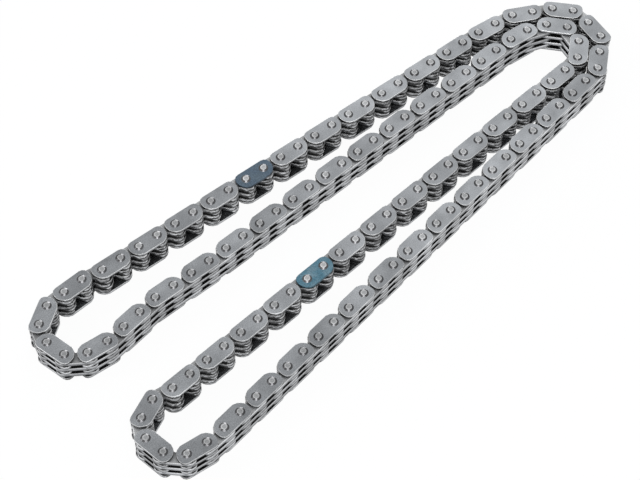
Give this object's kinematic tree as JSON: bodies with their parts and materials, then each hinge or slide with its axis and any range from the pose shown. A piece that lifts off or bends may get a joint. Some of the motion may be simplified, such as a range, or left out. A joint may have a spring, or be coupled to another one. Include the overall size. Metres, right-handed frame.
{
  "type": "timing chain",
  "caption": "Endless inverted-tooth timing chain with guide plates, riveted pins and two blue marked links, lying in a hairpin loop.",
  "frame": {"origin": "centre of the bounding box in plan, on the lowest plane, which the rivet heads rest on", "axes": "+X along the hairpin towards its double bend, -X towards the two finger tips, +Y across to finger 1, +Z along the pins"},
  "size_m": [0.2508, 0.0864, 0.0115],
  "materials": {
    "outer_bend_middle_steel": "satin, stamped and tumbled",
    "outer_bend_side_1_steel": "satin, stamped and tumbled",
    "outer_strand_1_section_1_steel": "satin, stamped and tumbled",
    "outer_strand_1_section_2_steel": "satin, stamped and tumbled",
    "marked_link_1_blue": "blue marking coat on satin steel",
    "marked_link_1_bottom_guide_plate_steel": "satin, stamped and tumbled",
    "marked_link_1_upper_toothed_plate_steel": "satin, stamped and tumbled",
    "marked_link_1_lower_toothed_plate_steel": "satin, stamped and tumbled",
    "marked_link_1_first_pin_steel": "bright spun rivet head",
    "marked_link_1_second_pin_steel": "bright spun rivet head",
    "outer_strand_1_section_3_steel": "satin, stamped and tumbled",
    "outer_strand_1_section_4_steel": "satin, stamped and tumbled",
    "finger_1_tip_outer_steel": "satin, stamped and tumbled",
    "finger_1_tip_inner_steel": "satin, stamped and tumbled",
    "inner_strand_1_section_3_steel": "satin, stamped and tumbled",
    "inner_strand_1_section_2_steel": "satin, stamped and tumbled",
    "inner_strand_1_section_1_steel": "satin, stamped and tumbled",
    "inner_bend_side_1_steel": "satin, stamped and tumbled",
    "outer_bend_side_2_steel": "satin, stamped and tumbled",
    "outer_strand_2_section_1_steel": "satin, stamped and tumbled",
    "outer_strand_2_section_2_steel": "satin, stamped and tumbled",
    "outer_strand_2_section_3_steel": "satin, stamped and tumbled",
    "finger_2_tip_outer_steel": "satin, stamped and tumbled",
    "finger_2_tip_inner_steel": "satin, stamped and tumbled",
    "inner_strand_2_section_3_steel": "satin, stamped and tumbled",
    "marked_link_2_blue": "blue marking coat on satin steel",
    "marked_link_2_bottom_guide_plate_steel": "satin, stamped and tumbled",
    "marked_link_2_upper_toothed_plate_steel": "satin, stamped and tumbled",
    "marked_link_2_lower_toothed_plate_steel": "satin, stamped and tumbled",
    "marked_link_2_first_pin_steel": "bright spun rivet head",
    "marked_link_2_second_pin_steel": "bright spun rivet head",
    "inner_strand_2_section_2_steel": "satin, stamped and tumbled",
    "inner_strand_2_section_1_steel": "satin, stamped and tumbled",
    "inner_bend_side_2_steel": "satin, stamped and tumbled"
  },
  "bodies": {
    "outer_bend_middle": {"outer_bend_middle": "outer_bend_middle_steel"},
    "outer_bend_side_1": {"outer_bend_side_1": "outer_bend_side_1_steel"},
    "outer_strand_1_section_1": {"outer_strand_1_section_1": "outer_strand_1_section_1_steel"},
    "outer_strand_1_section_2": {"outer_strand_1_section_2": "outer_strand_1_section_2_steel"},
    "marked_link_1": {"marked_link_1_top_guide_plate": "marked_link_1_blue", "marked_link_1_bottom_guide_plate": "marked_link_1_bottom_guide_plate_steel", "marked_link_1_upper_toothed_plate": "marked_link_1_upper_toothed_plate_steel", "marked_link_1_lower_toothed_plate": "marked_link_1_lower_toothed_plate_steel", "marked_link_1_first_pin": "marked_link_1_first_pin_steel", "marked_link_1_second_pin": "marked_link_1_second_pin_steel"},
    "outer_strand_1_section_3": {"outer_strand_1_section_3": "outer_strand_1_section_3_steel"},
    "outer_strand_1_section_4": {"outer_strand_1_section_4": "outer_strand_1_section_4_steel"},
    "finger_1_tip_outer": {"finger_1_tip_outer": "finger_1_tip_outer_steel"},
    "finger_1_tip_inner": {"finger_1_tip_inner": "finger_1_tip_inner_steel"},
    "inner_strand_1_section_3": {"inner_strand_1_section_3": "inner_strand_1_section_3_steel"},
    "inner_strand_1_section_2": {"inner_strand_1_section_2": "inner_strand_1_section_2_steel"},
    "inner_strand_1_section_1": {"inner_strand_1_section_1": "inner_strand_1_section_1_steel"},
    "inner_bend_side_1": {"inner_bend_side_1": "inner_bend_side_1_steel"},
    "outer_bend_side_2": {"outer_bend_side_2": "outer_bend_side_2_steel"},
    "outer_strand_2_section_1": {"outer_strand_2_section_1": "outer_strand_2_section_1_steel"},
    "outer_strand_2_section_2": {"outer_strand_2_section_2": "outer_strand_2_section_2_steel"},
    "outer_strand_2_section_3": {"outer_strand_2_section_3": "outer_strand_2_section_3_steel"},
    "finger_2_tip_outer": {"finger_2_tip_outer": "finger_2_tip_outer_steel"},
    "finger_2_tip_inner": {"finger_2_tip_inner": "finger_2_tip_inner_steel"},
    "inner_strand_2_section_3": {"inner_strand_2_section_3": "inner_strand_2_section_3_steel"},
    "marked_link_2": {"marked_link_2_top_guide_plate": "marked_link_2_blue", "marked_link_2_bottom_guide_plate": "marked_link_2_bottom_guide_plate_steel", "marked_link_2_upper_toothed_plate": "marked_link_2_upper_toothed_plate_steel", "marked_link_2_lower_toothed_plate": "marked_link_2_lower_toothed_plate_steel", "marked_link_2_first_pin": "marked_link_2_first_pin_steel", "marked_link_2_second_pin": "marked_link_2_second_pin_steel"},
    "inner_strand_2_section_2": {"inner_strand_2_section_2": "inner_strand_2_section_2_steel"},
    "inner_strand_2_section_1": {"inner_strand_2_section_1": "inner_strand_2_section_1_steel"},
    "inner_bend_side_2": {"inner_bend_side_2": "inner_bend_side_2_steel"}
  },
  "joints": [
    {"name": "outer_bend_side_1_pivot", "type": "hinge", "parent": "outer_bend_middle", "child": "outer_bend_side_1", "pos_m": [0.11659, 0.01182, 0.00577], "axis": [0, 0, 1], "range_deg": [-1.25, 0.47]},
    {"name": "finger_1_sway", "type": "hinge", "parent": "outer_bend_side_1", "child": "outer_strand_1_section_1", "pos_m": [0.09502, 0.02165, 0.00577], "axis": [0, 0, 1], "range_deg": [-4, 1.5]},
    {"name": "outer_strand_1_section_2_pivot", "type": "hinge", "parent": "outer_strand_1_section_1", "child": "outer_strand_1_section_2", "pos_m": [0.03929, 0.02692, 0.00577], "axis": [0, 0, 1], "range_deg": [-2.26, 0.85]},
    {"name": "marked_link_1_pivot", "type": "hinge", "parent": "outer_strand_1_section_2", "child": "marked_link_1", "pos_m": [-0.01651, 0.03164, 0.00577], "axis": [0, 0, 1], "range_deg": [-1.13, 0.42]},
    {"name": "outer_strand_1_section_3_pivot", "type": "hinge", "parent": "marked_link_1", "child": "outer_strand_1_section_3", "pos_m": [-0.02448, 0.03231, 0.00577], "axis": [0, 0, 1], "range_deg": [-0.46, 1.23]},
    {"name": "outer_strand_1_section_4_pivot", "type": "hinge", "parent": "outer_strand_1_section_3", "child": "outer_strand_1_section_4", "pos_m": [-0.06434, 0.03568, 0.00577], "axis": [0, 0, 1], "range_deg": [-0.86, 2.29]},
    {"name": "finger_1_tip_outer_pivot", "type": "hinge", "parent": "outer_strand_1_section_4", "child": "finger_1_tip_outer", "pos_m": [-0.10406, 0.03959, 0.00577], "axis": [0, 0, 1], "range_deg": [-1.01, 2.69]},
    {"name": "finger_1_tip_inner_pivot", "type": "hinge", "parent": "finger_1_tip_outer", "child": "finger_1_tip_inner", "pos_m": [-0.12165, 0.02765, 0.00577], "axis": [0, 0, 1], "range_deg": [-0.99, 0.37]},
    {"name": "inner_strand_1_section_3_pivot", "type": "hinge", "parent": "finger_1_tip_inner", "child": "inner_strand_1_section_3", "pos_m": [-0.10617, 0.01371, 0.00577], "axis": [0, 0, 1], "range_deg": [-1.96, 0.74]},
    {"name": "inner_strand_1_section_2_pivot", "type": "hinge", "parent": "inner_strand_1_section_3", "child": "inner_strand_1_section_2", "pos_m": [-0.03431, 0.01426, 0.00577], "axis": [0, 0, 1], "range_deg": [-2.28, 0.86]},
    {"name": "inner_strand_1_section_1_pivot", "type": "hinge", "parent": "inner_strand_1_section_2", "child": "inner_strand_1_section_1", "pos_m": [0.02968, 0.01315, 0.00577], "axis": [0, 0, 1], "range_deg": [-0.85, 2.27]},
    {"name": "inner_bend_side_1_pivot", "type": "hinge", "parent": "inner_strand_1_section_1", "child": "inner_bend_side_1", "pos_m": [0.09367, 0.01203, 0.00577], "axis": [0, 0, 1], "range_deg": [-0.71, 1.9]},
    {"name": "outer_bend_side_2_pivot", "type": "hinge", "parent": "outer_bend_middle", "child": "outer_bend_side_2", "pos_m": [0.11992, -0.01033, 0.00577], "axis": [0, 0, 1], "range_deg": [-0.47, 1.25]},
    {"name": "finger_2_sway", "type": "hinge", "parent": "outer_bend_side_2", "child": "outer_strand_2_section_1", "pos_m": [0.09941, -0.02122, 0.00577], "axis": [0, 0, 1], "range_deg": [-1.5, 4]},
    {"name": "outer_strand_2_section_2_pivot", "type": "hinge", "parent": "outer_strand_2_section_1", "child": "outer_strand_2_section_2", "pos_m": [0.02771, -0.02774, 0.00577], "axis": [0, 0, 1], "range_deg": [-0.8, 2.14]},
    {"name": "outer_strand_2_section_3_pivot", "type": "hinge", "parent": "outer_strand_2_section_2", "child": "outer_strand_2_section_3", "pos_m": [-0.044, -0.03425, 0.00577], "axis": [0, 0, 1], "range_deg": [-1.47, 0.55]},
    {"name": "finger_2_tip_outer_pivot", "type": "hinge", "parent": "outer_strand_2_section_3", "child": "finger_2_tip_outer", "pos_m": [-0.10776, -0.03962, 0.00577], "axis": [0, 0, 1], "range_deg": [-2.69, 1.01]},
    {"name": "finger_2_tip_inner_pivot", "type": "hinge", "parent": "finger_2_tip_outer", "child": "finger_2_tip_inner", "pos_m": [-0.12166, -0.02441, 0.00577], "axis": [0, 0, 1], "range_deg": [-0.4, 1.08]},
    {"name": "inner_strand_2_section_3_pivot", "type": "hinge", "parent": "finger_2_tip_inner", "child": "inner_strand_2_section_3", "pos_m": [-0.10229, -0.01586, 0.00577], "axis": [0, 0, 1], "range_deg": [-0.95, 2.55]},
    {"name": "marked_link_2_pivot", "type": "hinge", "parent": "inner_strand_2_section_3", "child": "marked_link_2", "pos_m": [-0.0383, -0.01474, 0.00577], "axis": [0, 0, 1], "range_deg": [-0.71, 1.91]},
    {"name": "inner_strand_2_section_2_pivot", "type": "hinge", "parent": "marked_link_2", "child": "inner_strand_2_section_2", "pos_m": [-0.0303, -0.01461, 0.00577], "axis": [0, 0, 1], "range_deg": [-1.82, 0.68]},
    {"name": "inner_strand_2_section_1_pivot", "type": "hinge", "parent": "inner_strand_2_section_2", "child": "inner_strand_2_section_1", "pos_m": [0.03369, -0.01349, 0.00577], "axis": [0, 0, 1], "range_deg": [-2.33, 0.87]},
    {"name": "inner_bend_side_2_pivot", "type": "hinge", "parent": "inner_strand_2_section_1", "child": "inner_bend_side_2", "pos_m": [0.09768, -0.01237, 0.00577], "axis": [0, 0, 1], "range_deg": [-3.16, 1.18]}
  ],
  "couplings": [
    {"joint": "outer_bend_side_1_pivot", "follows": "finger_1_sway", "ratio": 0.313},
    {"joint": "outer_strand_1_section_2_pivot", "follows": "finger_1_sway", "ratio": 0.564},
    {"joint": "marked_link_1_pivot", "follows": "finger_1_sway", "ratio": 0.283},
    {"joint": "outer_strand_1_section_3_pivot", "follows": "finger_1_sway", "ratio": -0.306},
    {"joint": "outer_strand_1_section_4_pivot", "follows": "finger_1_sway", "ratio": -0.571},
    {"joint": "finger_1_tip_outer_pivot", "follows": "finger_1_sway", "ratio": -0.671},
    {"joint": "finger_1_tip_inner_pivot", "follows": "finger_1_sway", "ratio": 0.248},
    {"joint": "inner_strand_1_section_3_pivot", "follows": "finger_1_sway", "ratio": 0.49},
    {"joint": "inner_strand_1_section_2_pivot", "follows": "finger_1_sway", "ratio": 0.57},
    {"joint": "inner_strand_1_section_1_pivot", "follows": "finger_1_sway", "ratio": -0.566},
    {"joint": "inner_bend_side_1_pivot", "follows": "finger_1_sway", "ratio": -0.474},
    {"joint": "outer_bend_side_2_pivot", "follows": "finger_2_sway", "ratio": 0.311},
    {"joint": "outer_strand_2_section_2_pivot", "follows": "finger_2_sway", "ratio": 0.535},
    {"joint": "outer_strand_2_section_3_pivot", "follows": "finger_2_sway", "ratio": -0.366},
    {"joint": "finger_2_tip_outer_pivot", "follows": "finger_2_sway", "ratio": -0.673},
    {"joint": "finger_2_tip_inner_pivot", "follows": "finger_2_sway", "ratio": 0.269},
    {"joint": "inner_strand_2_section_3_pivot", "follows": "finger_2_sway", "ratio": 0.636},
    {"joint": "marked_link_2_pivot", "follows": "finger_2_sway", "ratio": 0.476},
    {"joint": "inner_strand_2_section_2_pivot", "follows": "finger_2_sway", "ratio": -0.454},
    {"joint": "inner_strand_2_section_1_pivot", "follows": "finger_2_sway", "ratio": -0.582},
    {"joint": "inner_bend_side_2_pivot", "follows": "finger_2_sway", "ratio": -0.789}
  ]
}
